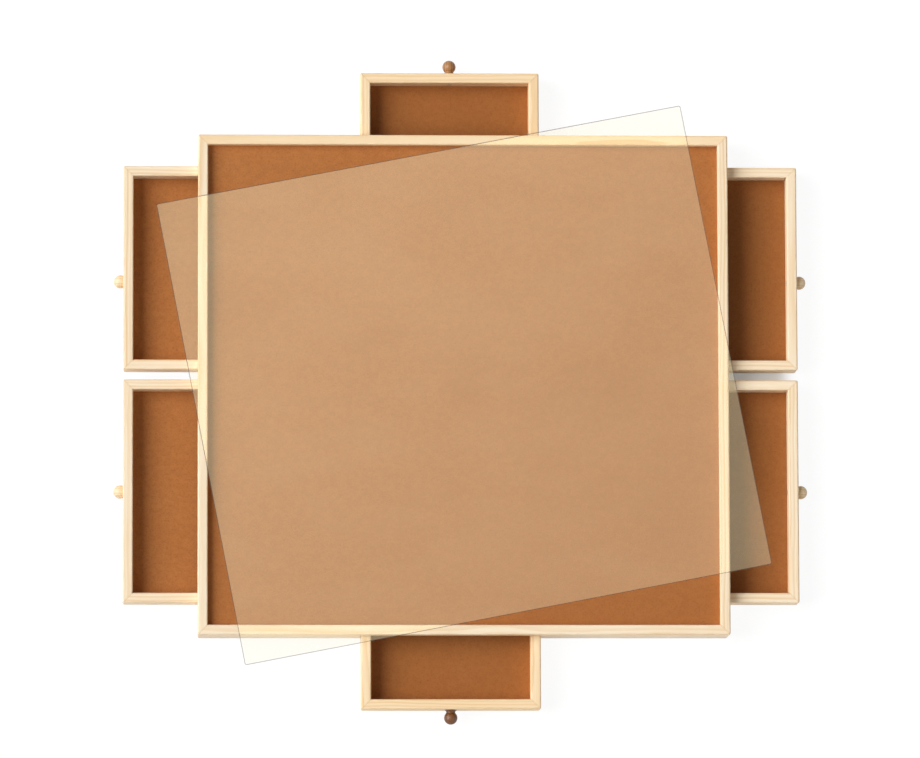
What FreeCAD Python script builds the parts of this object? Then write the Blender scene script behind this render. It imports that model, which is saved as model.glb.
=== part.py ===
"""Tabletop jigsaw board with six drawers under it and a loose clear cover.

The case is four mitred pine rails with drawer windows, round a hardboard work panel.  Runners under the
panel carry two drawers at each side and one at each end.  Millimetres, +Z up, +X to the right, -Y to the
front, with the origin at the middle of the underside.  The drawers are drawn partly open.
"""
import FreeCAD, Part
import math
import os

import Sketcher

SIZES = {
    # case
    "case_width": 740.0,
    "case_depth": 700.0,
    "rail_thick": 14.0,
    "recess_depth": 12.0,
    "panel_thick": 4.0,
    "panel_tongue": 5.0,
    "lip_thick": 2.5,
    "sill_height": 8.0,
    "edge_round": 2.0,
    "corner_round": 3.0,
    "foot_round": 1.0,
    # drawer bays, as they lie in the plan
    "rear_margin": 42.0,
    "front_margin": 46.0,
    "divider_shift": 15.0,
    "end_bay_shift": 18.0,
    "end_drawer_width": 250.0,
    "end_drawer_depth": 250.0,
    "guide_thick": 12.0,
    "ledge_spare": 3.0,
    "bearer_width": 40.0,
    # drawers
    "drawer_height": 36.0,
    "wall_thick": 14.0,
    "wall_round": 2.0,
    "floor_thick": 3.0,
    "floor_lift": 4.0,
    "floor_tongue": 5.0,
    # how far each drawer stands open
    "open_left": 104.0,
    "open_right": 98.0,
    "open_front": 102.0,
    "open_rear": 90.5,
    # turned knobs and their screws
    "knob_ball_radius": 9.3,
    "knob_neck_radius": 6.2,
    "knob_flare_radius": 8.8,
    "knob_neck_length": 4.2,
    "knob_cove_radius": 4.2,
    "knob_seat_radius": 8.4,
    "rear_knob_shift": 18.0,
    "screw_radius": 1.85,
    "screw_bite": 12.0,
    "short_screw_bite": 8.0,
    "screw_head_radius": 3.8,
    "screw_sink": 2.2,
    # cover sheet
    "cover_thick": 1.5,
    "cover_corner_radius": 4.0,
    "cover_overhang": 3.0,
    "cover_setback": 22.0,
    "cover_turn": 10.9,
    # clearances
    "run_gap": 0.3,
    "side_gap": 1.0,
    "top_gap": 1.2,
    "groove_spare": 0.5,
    "screw_gap": 0.3,
    "thread_gap": 0.05,
    "overrun": 5.0,
}
SHEET_NAME = "Sizes"
FULL_TURN = 360.0
QUARTER_TURN = 90.0
LEFT, RIGHT = 1, -1
# where a round corner meets its mitre, from each face, as a share of the radius
MITRE_POINT_SHARE = 1 - math.sqrt(0.5)
UP = FreeCAD.Vector(0, 0, 1)

doc = FreeCAD.newDocument("JigsawBoard")
sheet = doc.addObject("Spreadsheet::Sheet", SHEET_NAME)
for row, (name, number) in enumerate(SIZES.items(), start=1):
    sheet.set(f"A{row}", name)
    sheet.set(f"B{row}", str(number))
    sheet.setAlias(f"B{row}", name)
doc.recompute()


class Size:
    """A length that knows its present value and the sheet expression that it comes from."""

    def __init__(self, value, text):
        self.value = value
        self.text = text

    def __add__(self, other):
        return Size(self.value + other.value, f"({self.text} + {other.text})")

    def __sub__(self, other):
        return Size(self.value - other.value, f"({self.text} - {other.text})")

    def __neg__(self):
        return Size(-self.value, f"(0 - {self.text})")

    def __mul__(self, count):
        return Size(self.value * count, f"({self.text} * {count})")

    def __truediv__(self, count):
        return Size(self.value / count, f"({self.text} / {count})")

    def leg(self, other):
        """The second leg of a right triangle with this hypotenuse and the other leg."""
        value = math.sqrt(self.value**2 - other.value**2)
        return Size(value, f"sqrt({self.text}^2 - {other.text}^2)")


def named(name):
    """The sheet's value of that name."""
    return Size(SIZES[name], f"{SHEET_NAME}.{name}")


ZERO = Size(0.0, "0")
CASE_WIDTH = named("case_width")
CASE_DEPTH = named("case_depth")
RAIL_THICK = named("rail_thick")
PANEL_THICK = named("panel_thick")
PANEL_TONGUE = named("panel_tongue")
SILL_HEIGHT = named("sill_height")
EDGE_ROUND = named("edge_round")
CORNER_ROUND = named("corner_round")
FOOT_ROUND = named("foot_round")
GUIDE_THICK = named("guide_thick")
WALL_THICK = named("wall_thick")
WALL_ROUND = named("wall_round")
DRAWER_HEIGHT = named("drawer_height")
FLOOR_THICK = named("floor_thick")
FLOOR_LIFT = named("floor_lift")
FLOOR_TONGUE = named("floor_tongue")
SCREW_RADIUS = named("screw_radius")
SCREW_HEAD_RADIUS = named("screw_head_radius")
SCREW_SEAT = WALL_THICK - named("screw_sink")
RUN_GAP = named("run_gap")
SIDE_GAP = named("side_gap")
GROOVE_SPARE = named("groove_spare")
OVERRUN = named("overrun")

# heights, from the table upwards
DRAWER_Z = SILL_HEIGHT + RUN_GAP
WINDOW_TOP = DRAWER_Z + DRAWER_HEIGHT + named("top_gap")
PANEL_UNDER = WINDOW_TOP + named("lip_thick")
PANEL_TOP = PANEL_UNDER + PANEL_THICK
CASE_HEIGHT = PANEL_TOP + named("recess_depth")

# plan: the inside of the case, and the edges of the drawers
INSIDE_X = CASE_WIDTH / 2 - RAIL_THICK
INSIDE_Y = CASE_DEPTH / 2 - RAIL_THICK
DIVIDER_Y = named("divider_shift")
REAR_BAY_Y = (DIVIDER_Y + GUIDE_THICK / 2 + SIDE_GAP, CASE_DEPTH / 2 - named("rear_margin"))
FRONT_BAY_Y = (named("front_margin") - CASE_DEPTH / 2, DIVIDER_Y - GUIDE_THICK / 2 - SIDE_GAP)
END_WIDTH = named("end_drawer_width")
END_DEPTH = named("end_drawer_depth")
END_BAY_X = (-named("end_bay_shift") - END_WIDTH / 2, END_WIDTH / 2 - named("end_bay_shift"))
LEFT_GUIDE_OUTER = END_BAY_X[0] - SIDE_GAP - GUIDE_THICK
SIDE_DEPTH = CASE_WIDTH / 2 + LEFT_GUIDE_OUTER - RUN_GAP
STOP_RAIL_OUTER = -LEFT_GUIDE_OUTER
LEDGE_REACH = SIDE_GAP + WALL_THICK + named("ledge_spare")
END_STOP_Y = CASE_DEPTH / 2 - END_DEPTH - RUN_GAP


def new_body(label):
    """An empty body, which becomes one piece of the table."""
    body = doc.addObject("PartDesign::Body", label)
    body.Label = label
    return body


def origin_feature(body, role):
    """One of the body's own origin planes or axes."""
    return next(f for f in body.Origin.OriginFeatures if f.Role == role)


def new_sketch(body, plane, name):
    """An empty sketch on one of the body's origin planes."""
    sketch = body.newObject("Sketcher::SketchObject", name)
    sketch.AttachmentSupport = [(origin_feature(body, plane), "")]
    sketch.MapMode = "FlatFace"
    return sketch


def tie(sketch, kind, geometry, point, size):
    """Ties a sketch point's distance from the origin to the sheet."""
    if size is ZERO:
        axis = -2 if kind == "DistanceX" else -1
        sketch.addConstraint(Sketcher.Constraint("PointOnObject", geometry, point, axis))
        return
    index = sketch.addConstraint(Sketcher.Constraint(kind, -1, 1, geometry, point, size.value))
    sketch.setExpression(f"Constraints[{index}]", size.text)


def tie_radius(sketch, geometry, size):
    """Ties an arc's or a circle's radius to the sheet."""
    index = sketch.addConstraint(Sketcher.Constraint("Radius", geometry, size.value))
    sketch.setExpression(f"Constraints[{index}]", size.text)


def vector(x, y):
    """A sketch point at two sizes."""
    return FreeCAD.Vector(x.value, y.value, 0)


def join(sketch, first, first_point, second, second_point):
    """Joins a point of one curve to a point of another."""
    sketch.addConstraint(Sketcher.Constraint("Coincident", first, first_point, second, second_point))


def add_arc(sketch, start, end, radius):
    """Adds the shorter arc of that radius that runs counter-clockwise from start to end."""
    chord = end - start
    sideways = FreeCAD.Vector(-chord.y, chord.x, 0).normalize()
    centre = start + chord / 2 + sideways * math.sqrt(radius.value**2 - (chord.Length / 2) ** 2)
    begin, finish = (math.atan2(point.y - centre.y, point.x - centre.x) for point in (start, end))
    if finish < begin:
        finish += 2 * math.pi
    index = sketch.addGeometry(Part.ArcOfCircle(Part.Circle(centre, UP, radius.value), begin, finish))
    tie_radius(sketch, index, radius)


def add_loop(sketch, corners, bends=None):
    """Adds a closed loop through the corners, which are (x, y) pairs of sizes.

    bends gives each stretch that is an arc, by the corner that it starts from: its radius, and LEFT or RIGHT
    for the way that it turns.
    """
    bends = bends or {}
    first, count = sketch.GeometryCount, len(corners)
    points = [vector(*corner) for corner in corners]
    ends = []
    for i, start in enumerate(points):
        end = points[(i + 1) % count]
        radius, turn = bends.get(i, (None, LEFT))
        ends.append((1, 2) if turn == LEFT else (2, 1))
        if radius is None:
            sketch.addGeometry(Part.LineSegment(start, end))
        elif turn == LEFT:
            add_arc(sketch, start, end, radius)
        else:
            add_arc(sketch, end, start, radius)
    for i, (x, y) in enumerate(corners):
        after = (i + 1) % count
        join(sketch, first + i, ends[i][1], first + after, ends[after][0])
        tie(sketch, "DistanceX", first + i, ends[i][0], x)
        tie(sketch, "DistanceY", first + i, ends[i][0], y)


def towards(start, end):
    """Which way an axis-parallel edge runs, as -1, 0 or 1 along each axis."""
    steps = (end[0].value - start[0].value, end[1].value - start[1].value)
    return [(step > 0) - (step < 0) for step in steps]


def moved(corner, step, radius):
    """A corner moved along an axis-parallel edge by a radius."""
    return tuple(c + radius * s if s else c for c, s in zip(corner, step))


def rounded(corners, rounds):
    """The corners and bends of a counter-clockwise outline whose square corners are rounded by index."""
    spots, bends = [], {}
    for i, corner in enumerate(corners):
        if i not in rounds:
            spots.append(corner)
            continue
        bends[len(spots)] = (rounds[i], LEFT)
        for neighbour in (corners[i - 1], corners[(i + 1) % len(corners)]):
            spots.append(moved(corner, towards(corner, neighbour), rounds[i]))
    return spots, bends


def rectangle(low_x, low_y, high_x, high_y):
    """The corners of a rectangle, counter-clockwise from the lowest."""
    return [(low_x, low_y), (high_x, low_y), (high_x, high_y), (low_x, high_y)]


def pad(body, sketch, length, both_ways=False):
    """Pads a sketch to a length, to one side or evenly to both."""
    feature = body.newObject("PartDesign::Pad", "Pad")
    feature.Profile = sketch
    feature.SideType = "Symmetric" if both_ways else "One side"
    feature.setExpression("Length", length.text)


def cut_through(body, sketch, name):
    """Cuts a sketch right through the body, both ways from its plane."""
    feature = body.newObject("PartDesign::Pocket", name)
    feature.Profile = sketch
    feature.Type = "ThroughAll"
    feature.SideType = "Symmetric"
    sketch.Visibility = False


def place(body, x, y, z, quarters=0):
    """Puts a piece at its place, turned about the vertical by quarter turns."""
    base = FreeCAD.Vector(x.value, y.value, z.value)
    body.Placement = FreeCAD.Placement(base, FreeCAD.Rotation(UP, QUARTER_TURN * quarters))
    for axis, size in zip("xyz", (x, y, z)):
        body.setExpression(f"Placement.Base.{axis}", size.text)


def turn_point(x, y, quarters):
    """A plan point after quarter turns about the origin."""
    return [(x, y), (-y, x), (-x, -y), (y, -x)][quarters % 4]


def board(label, width, depth, thick, corner_round=None):
    """A flat sheet, centred on its own origin and standing on it, with square or round corners."""
    body = new_body(label)
    sketch = new_sketch(body, "XY_Plane", "Outline")
    corners = rectangle(-width / 2, -depth / 2, width / 2, depth / 2)
    add_loop(sketch, *rounded(corners, {i: corner_round for i in range(4) if corner_round}))
    pad(body, sketch, thick)
    return body


def mitred_bar(label, length, section, rounds):
    """A bar along X with its outer face on Y = 0, mitred at both ends, with the outer corners rounded off.

    section lists the corners of its cross-section, as (y, z), and its second corner gives the thickness.
    """
    body = new_body(label)
    profile = new_sketch(body, "YZ_Plane", "Section")
    add_loop(profile, *rounded(section, rounds))
    pad(body, profile, length, both_ways=True)
    thick = section[1][0]
    mitres = new_sketch(body, "XY_Plane", "Mitres")
    far_x = length / 2 + OVERRUN
    far_y = thick + OVERRUN
    near_x = length / 2 - thick - OVERRUN
    arc_x = length / 2 - CORNER_ROUND
    arc_end = CORNER_ROUND * MITRE_POINT_SHARE
    waste = [
        (arc_x, -OVERRUN),
        (far_x, -OVERRUN),
        (far_x, far_y),
        (near_x, far_y),
        (length / 2 - arc_end, arc_end),
        (arc_x, ZERO),
    ]
    add_loop(mitres, waste, {4: (CORNER_ROUND, RIGHT)})
    add_loop(mitres, [(-x, y) for x, y in waste], {4: (CORNER_ROUND, LEFT)})
    cut_through(body, mitres, "MitreCut")
    return body


def grooved_section(thick, height, groove_low, groove_high, groove_depth):
    """A bar's cross-section with a groove in its inner face, counter-clockwise from the outer foot."""
    bed = thick - groove_depth
    return [
        (ZERO, ZERO),
        (thick, ZERO),
        (thick, groove_low),
        (bed, groove_low),
        (bed, groove_high),
        (thick, groove_high),
        (thick, height),
        (ZERO, height),
    ]


OUTER_FOOT, INNER_FOOT, INNER_TOP, OUTER_TOP = 0, 1, 6, 7


def case_rail(label, length, windows):
    """One side of the case: panel groove, softened edges, and its drawer windows as (low x, high x)."""
    groove_high = PANEL_TOP + RUN_GAP
    section = grooved_section(RAIL_THICK, CASE_HEIGHT, PANEL_UNDER, groove_high, PANEL_TONGUE + GROOVE_SPARE)
    rounds = {
        OUTER_FOOT: FOOT_ROUND,
        INNER_FOOT: FOOT_ROUND,
        INNER_TOP: EDGE_ROUND,
        OUTER_TOP: EDGE_ROUND,
    }
    body = mitred_bar(label, length, section, rounds)
    openings = new_sketch(body, "XZ_Plane", "Windows")
    for low, high in windows:
        add_loop(openings, rectangle(low, SILL_HEIGHT, high, WINDOW_TOP))
    cut_through(body, openings, "WindowCut")
    return body


def flipped(windows):
    """The same windows on a rail that is turned the other way."""
    return [(-high, -low) for low, high in windows]


def build_case():
    """The four rails and the work panel in their grooves."""
    side_windows = [(low - SIDE_GAP, high + SIDE_GAP) for low, high in (FRONT_BAY_Y, REAR_BAY_Y)]
    end_window = [(END_BAY_X[0] - SIDE_GAP, END_BAY_X[1] + SIDE_GAP)]
    half_width, half_depth = CASE_WIDTH / 2, CASE_DEPTH / 2
    place(case_rail("front_rail", CASE_WIDTH, end_window), ZERO, -half_depth, ZERO, 0)
    place(case_rail("right_rail", CASE_DEPTH, side_windows), half_width, ZERO, ZERO, 1)
    place(case_rail("rear_rail", CASE_WIDTH, flipped(end_window)), ZERO, half_depth, ZERO, 2)
    place(case_rail("left_rail", CASE_DEPTH, flipped(side_windows)), -half_width, ZERO, ZERO, 3)
    panel = board("work_panel", (INSIDE_X + PANEL_TONGUE) * 2, (INSIDE_Y + PANEL_TONGUE) * 2, PANEL_THICK)
    place(panel, ZERO, ZERO, PANEL_UNDER)


def bar(label, length, section):
    """A square-ended bar along X, from X = 0, with the given (y, z) cross-section."""
    body = new_body(label)
    sketch = new_sketch(body, "YZ_Plane", "Section")
    add_loop(sketch, section)
    pad(body, sketch, length)
    return body


def ell_section(ledge_side):
    """A runner's guide with one ledge, on the side that ledge_side gives as 1 or -1.

    The guide's drawer face is on Y = 0.
    """
    if ledge_side > 0:
        return [
            (-GUIDE_THICK, ZERO),
            (LEDGE_REACH, ZERO),
            (LEDGE_REACH, SILL_HEIGHT),
            (ZERO, SILL_HEIGHT),
            (ZERO, PANEL_UNDER),
            (-GUIDE_THICK, PANEL_UNDER),
        ]
    return [
        (-LEDGE_REACH, ZERO),
        (GUIDE_THICK, ZERO),
        (GUIDE_THICK, PANEL_UNDER),
        (ZERO, PANEL_UNDER),
        (ZERO, SILL_HEIGHT),
        (-LEDGE_REACH, SILL_HEIGHT),
    ]


def tee_section():
    """A runner's guide between two drawers, with a ledge on each side, centred on Y = 0."""
    half = GUIDE_THICK / 2
    reach = half + LEDGE_REACH
    return [
        (-reach, ZERO),
        (reach, ZERO),
        (reach, SILL_HEIGHT),
        (half, SILL_HEIGHT),
        (half, PANEL_UNDER),
        (-half, PANEL_UNDER),
        (-half, SILL_HEIGHT),
        (-reach, SILL_HEIGHT),
    ]


def build_runners():
    """Everything under the panel that guides, carries and stops the drawers."""
    side_length = INSIDE_X + LEFT_GUIDE_OUTER
    for side, start_x in (("left", -INSIDE_X), ("right", STOP_RAIL_OUTER)):
        rear = bar(f"{side}_rear_runner", side_length, ell_section(-1))
        place(rear, start_x, REAR_BAY_Y[1] + SIDE_GAP, ZERO)
        place(bar(f"{side}_middle_runner", side_length, tee_section()), start_x, DIVIDER_Y, ZERO)
        front = bar(f"{side}_front_runner", side_length, ell_section(1))
        place(front, start_x, FRONT_BAY_Y[0] - SIDE_GAP, ZERO)
    end_length = INSIDE_Y * 2
    left_end = bar("left_end_runner", end_length, ell_section(-1))
    place(left_end, END_BAY_X[0] - SIDE_GAP, -INSIDE_Y, ZERO, 1)
    right_end = bar("right_end_runner", end_length, ell_section(1))
    place(right_end, END_BAY_X[1] + SIDE_GAP, -INSIDE_Y, ZERO, 1)
    stop_rail = board("right_stop_rail", GUIDE_THICK, end_length, PANEL_UNDER)
    place(stop_rail, STOP_RAIL_OUTER - GUIDE_THICK / 2, ZERO, ZERO)
    stop_length = END_WIDTH + SIDE_GAP * 2
    stop_middle = END_STOP_Y - GUIDE_THICK / 2
    for end, y in (("front", -stop_middle), ("rear", stop_middle)):
        stop = board(f"{end}_drawer_stop", stop_length, GUIDE_THICK, PANEL_UNDER - SILL_HEIGHT)
        place(stop, -named("end_bay_shift"), y, SILL_HEIGHT)
    bearer_length = (END_STOP_Y - GUIDE_THICK) * 2
    place(board("centre_bearer", named("bearer_width"), bearer_length, PANEL_UNDER), ZERO, ZERO, ZERO)


def necked_outline():
    """A ball on a coved neck, from its tip to its foot on Y = 0: the corners, and the bends between them."""
    ball, neck = named("knob_ball_radius"), named("knob_neck_radius")
    neck_end = named("knob_neck_length")
    tip = neck_end + ball.leg(neck) + ball
    corners = [(ZERO, -tip), (neck, -neck_end), (named("knob_flare_radius"), ZERO)]
    return corners, {0: (ball, LEFT), 1: (named("knob_cove_radius"), RIGHT)}


def seated_outline():
    """A ball with a flat seat on Y = 0, from its tip to the seat's edge: the corners, and their bend."""
    ball, seat = named("knob_ball_radius"), named("knob_seat_radius")
    tip = ball.leg(seat) + ball
    return [(ZERO, -tip), (seat, ZERO)], {0: (ball, LEFT)}


def turned_knob(label, outline, bite):
    """A knob turned about Y, standing on Y = 0, with a blind hole for a screw that bites so deep."""
    corners, bends = outline
    hole = SCREW_RADIUS + named("thread_gap")
    hole_end = bite + named("screw_gap")
    body = new_body(label)
    sketch = new_sketch(body, "XY_Plane", "Profile")
    add_loop(sketch, [*corners, (hole, ZERO), (hole, -hole_end), (ZERO, -hole_end)], bends)
    revolve(body, sketch)
    return body


def revolve(body, sketch, kind="Revolution"):
    """Turns a sketch once round its own vertical axis, to add to the body, or to cut it as a Groove."""
    feature = body.newObject(f"PartDesign::{kind}", "Turning")
    feature.Profile = sketch
    feature.ReferenceAxis = (sketch, ["V_Axis"])
    feature.Angle = FULL_TURN


def knob_screw(label, bite):
    """The countersunk screw that holds a knob, with its head flush with Y = wall_thick."""
    body = new_body(label)
    sketch = new_sketch(body, "XY_Plane", "Profile")
    corners = [
        (ZERO, -bite),
        (SCREW_RADIUS, -bite),
        (SCREW_RADIUS, SCREW_SEAT),
        (SCREW_HEAD_RADIUS, WALL_THICK),
        (ZERO, WALL_THICK),
    ]
    add_loop(sketch, corners)
    revolve(body, sketch)
    return body


def drawer_wall(label, length):
    """One mitred side of a drawer, with the floor's groove in its inner face."""
    floor_top = FLOOR_LIFT + FLOOR_THICK
    groove = FLOOR_TONGUE + GROOVE_SPARE
    section = grooved_section(WALL_THICK, DRAWER_HEIGHT, FLOOR_LIFT, floor_top + RUN_GAP, groove)
    rounds = {
        OUTER_FOOT: FOOT_ROUND,
        INNER_FOOT: FOOT_ROUND,
        INNER_TOP: WALL_ROUND,
        OUTER_TOP: WALL_ROUND,
    }
    return mitred_bar(label, length, section, rounds)


def sink_hole(body, x, z):
    """Bores a wall through its thickness for a knob's screw, with a cone for the head on the inner side."""
    gap = named("screw_gap")
    bore, mouth = SCREW_RADIUS + gap, SCREW_HEAD_RADIUS + gap
    past = WALL_THICK + OVERRUN
    sketch = new_sketch(body, "XY_Plane", "ScrewHole")
    sketch.AttachmentOffset = FreeCAD.Placement(FreeCAD.Vector(x.value, 0, z.value), FreeCAD.Rotation())
    sketch.setExpression("AttachmentOffset.Base.x", x.text)
    sketch.setExpression("AttachmentOffset.Base.z", z.text)
    corners = [
        (ZERO, -OVERRUN),
        (bore, -OVERRUN),
        (bore, SCREW_SEAT),
        (mouth, WALL_THICK),
        (mouth, past),
        (ZERO, past),
    ]
    add_loop(sketch, corners)
    revolve(body, sketch, "Groove")


def build_drawer(name, width, depth, x, y, quarters, knob, knob_x=ZERO):
    """One drawer, whose front's outer face is centred on (x, y) and faces out by quarter turns from -Y.

    knob is the knob's outline and its screw's bite, and knob_x its place along the front, from the middle.
    """

    def put(body, local_x, local_y, local_z, own_quarters=0):
        shift_x, shift_y = turn_point(local_x, local_y, quarters)
        place(body, x + shift_x, y + shift_y, DRAWER_Z + local_z, quarters + own_quarters)

    knob_z = DRAWER_HEIGHT / 2
    front = drawer_wall(f"{name}_front", width)
    sink_hole(front, knob_x, knob_z)
    put(front, ZERO, ZERO, ZERO, 0)
    put(drawer_wall(f"{name}_right_side", depth), width / 2, depth / 2, ZERO, 1)
    put(drawer_wall(f"{name}_back", width), ZERO, depth, ZERO, 2)
    put(drawer_wall(f"{name}_left_side", depth), -width / 2, depth / 2, ZERO, 3)
    inset = (WALL_THICK - FLOOR_TONGUE) * 2
    put(board(f"{name}_floor", width - inset, depth - inset, FLOOR_THICK), ZERO, depth / 2, FLOOR_LIFT)
    outline, bite = knob
    put(turned_knob(f"{name}_knob", outline, bite), knob_x, ZERO, knob_z)
    put(knob_screw(f"{name}_knob_screw", bite), knob_x, ZERO, knob_z)


def build_drawers():
    """Two drawers at each side, with seated knobs, and one at each end, with a necked one, all open."""
    left_x = -CASE_WIDTH / 2 - named("open_left")
    right_x = CASE_WIDTH / 2 + named("open_right")
    knob_shift = named("rear_knob_shift")
    side_knob = seated_outline(), named("short_screw_bite")
    for bay, (low, high) in (("rear", REAR_BAY_Y), ("front", FRONT_BAY_Y)):
        middle, width = (low + high) / 2, high - low
        left_knob, right_knob = (knob_shift, -knob_shift) if bay == "rear" else (ZERO, ZERO)
        build_drawer(f"left_{bay}_drawer", width, SIDE_DEPTH, left_x, middle, 3, side_knob, left_knob)
        build_drawer(f"right_{bay}_drawer", width, SIDE_DEPTH, right_x, middle, 1, side_knob, right_knob)
    end_x = -named("end_bay_shift")
    front_y = -CASE_DEPTH / 2 - named("open_front")
    rear_y = CASE_DEPTH / 2 + named("open_rear")
    end_knob = necked_outline(), named("screw_bite")
    build_drawer("front_drawer", END_WIDTH, END_DEPTH, end_x, front_y, 0, end_knob)
    build_drawer("rear_drawer", END_WIDTH, END_DEPTH, end_x, rear_y, 2, end_knob)


def build_cover():
    """The clear sheet, lying askew on the rails.

    Laid straight, it overhangs both side rails a little and stops short of the end rails.
    """
    width = CASE_WIDTH + named("cover_overhang") * 2
    depth = CASE_DEPTH - named("cover_setback") * 2
    cover = board("cover_sheet", width, depth, named("cover_thick"), named("cover_corner_radius"))
    place(cover, ZERO, ZERO, CASE_HEIGHT + RUN_GAP)
    cover.setExpression("Placement.Rotation.Angle", f"{SHEET_NAME}.cover_turn")


def check_document():
    """Stops if any object failed or any piece isn't one sound solid."""
    for thing in doc.Objects:
        if "Invalid" in thing.State or "Error" in thing.State:
            raise RuntimeError(f"{thing.Label} failed: {thing.State}")
    for body in doc.findObjects("PartDesign::Body"):
        shape = body.Shape
        if shape.isNull() or not shape.isValid() or len(shape.Solids) != 1:
            raise RuntimeError(f"{body.Label} is not one sound solid")


build_case()
build_runners()
build_drawers()
build_cover()
doc.recompute()
check_document()
os.makedirs("parts", exist_ok=True)
for piece in doc.findObjects("PartDesign::Body"):
    piece.Shape.exportStep(os.path.join("parts", f"{piece.Label}.step"))
print(len(doc.findObjects("PartDesign::Body")), "pieces written")
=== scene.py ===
"""Looks of a tabletop jigsaw board: pine rim, hardboard work panel, six drawers and a clear cover.

Everything is in metres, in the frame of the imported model: +X right, +Y to the rear, +Z up.
Only inside the finishes are lengths in millimetres.
"""
import logging
import math
from dataclasses import dataclass, field
from enum import Enum

import bmesh
import bpy
from mathutils import Euler, Matrix, Vector


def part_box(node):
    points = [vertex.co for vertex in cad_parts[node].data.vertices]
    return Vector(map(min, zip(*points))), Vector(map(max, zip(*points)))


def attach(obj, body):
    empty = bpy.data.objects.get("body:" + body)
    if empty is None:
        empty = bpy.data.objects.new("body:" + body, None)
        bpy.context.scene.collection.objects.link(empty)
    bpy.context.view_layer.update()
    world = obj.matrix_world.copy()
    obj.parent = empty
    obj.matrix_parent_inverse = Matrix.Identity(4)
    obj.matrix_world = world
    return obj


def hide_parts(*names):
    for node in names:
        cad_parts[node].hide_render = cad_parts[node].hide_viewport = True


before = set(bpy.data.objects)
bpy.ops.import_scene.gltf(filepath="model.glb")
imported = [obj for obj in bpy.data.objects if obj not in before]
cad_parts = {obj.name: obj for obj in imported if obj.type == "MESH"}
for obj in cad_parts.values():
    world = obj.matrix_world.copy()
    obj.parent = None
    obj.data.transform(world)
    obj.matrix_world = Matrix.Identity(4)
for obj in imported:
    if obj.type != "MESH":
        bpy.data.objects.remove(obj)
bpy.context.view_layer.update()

LOG = logging.getLogger("jigsaw_board")
MM = 0.001
WHITE = (1.0, 1.0, 1.0, 1.0)
NOISE_SPAN = (0.3, 0.7)
Pair = tuple[float, float]
Triple = tuple[float, float, float]
Socket = bpy.types.NodeSocket
Source = Socket | float | tuple[float, ...]
Inputs = dict[str | int, Source]
Mesh = bmesh.types.BMesh


class Grain(Enum):
    """Which way the fibres of a piece run: the turn that lays them along X, and their direction."""

    ALONG_X = ((0.0, 0.0, 0.0), (1.0, 0.0, 0.0))
    ALONG_Y = ((0.0, 0.0, -math.pi / 2), (0.0, 1.0, 0.0))

    @property
    def turn(self) -> Triple:
        """The rotation that lays the fibres along X."""
        return self.value[0]

    @property
    def along(self) -> Vector:
        """The direction of the fibres."""
        return Vector(self.value[1])

    @property
    def other(self) -> "Grain":
        """The grain of a piece that stands square to this one."""
        return Grain.ALONG_Y if self is Grain.ALONG_X else Grain.ALONG_X


class PineTone(Enum):
    """The tones of the pine pieces, as early and late wood."""

    PALE = ("#FBE9CC", "#E9C08A")
    HONEY = ("#FCE3BC", "#E9BC80")
    BARE = ("#EBCC9C", "#C99558")


class BoardTone(Enum):
    """The tones of the hardboard sheets, as their base, lighter clouds and darker specks. The second tone
    is the same board darkened as painted shade, for the floors of the right-hand and end drawers.
    """

    LIGHT = ("#B5733D", "#BC7F4B", "#93562A")
    # The same hardboard, darkened as painted shade for the floors of the right-hand and end drawers.
    SHADED = ("#A06331", "#AB7041", "#854C23")


class KnobTone(Enum):
    """The tones of the turned knobs, as pale and dark wood. All are one beech: the pale tone is painted
    light on the side knobs, and the dark tone painted shade on the front knob.
    """

    # Painted light: the side knobs lightened.
    PALE = ("#F2D8B2", "#D6AE7A")
    BROWN = ("#B4804D", "#7C502A")
    # Painted shade: the front knob darkened.
    DARK_SHADED = ("#71410F", "#46260A")


def linear(code: str) -> tuple[float, float, float, float]:
    """Turns a display colour into scene-linear light, by the curve that displays use.

    Args:
        code: The colour as six hexadecimal digits after a hash.

    Returns:
        Red, green and blue from 0 to 1, and a full alpha.
    """
    shares = [int(code[i : i + 2], 16) / 255 for i in (1, 3, 5)]
    red, green, blue = (s / 12.92 if s <= 0.04045 else ((s + 0.055) / 1.055) ** 2.4 for s in shares)
    return red, green, blue, 1.0


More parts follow.
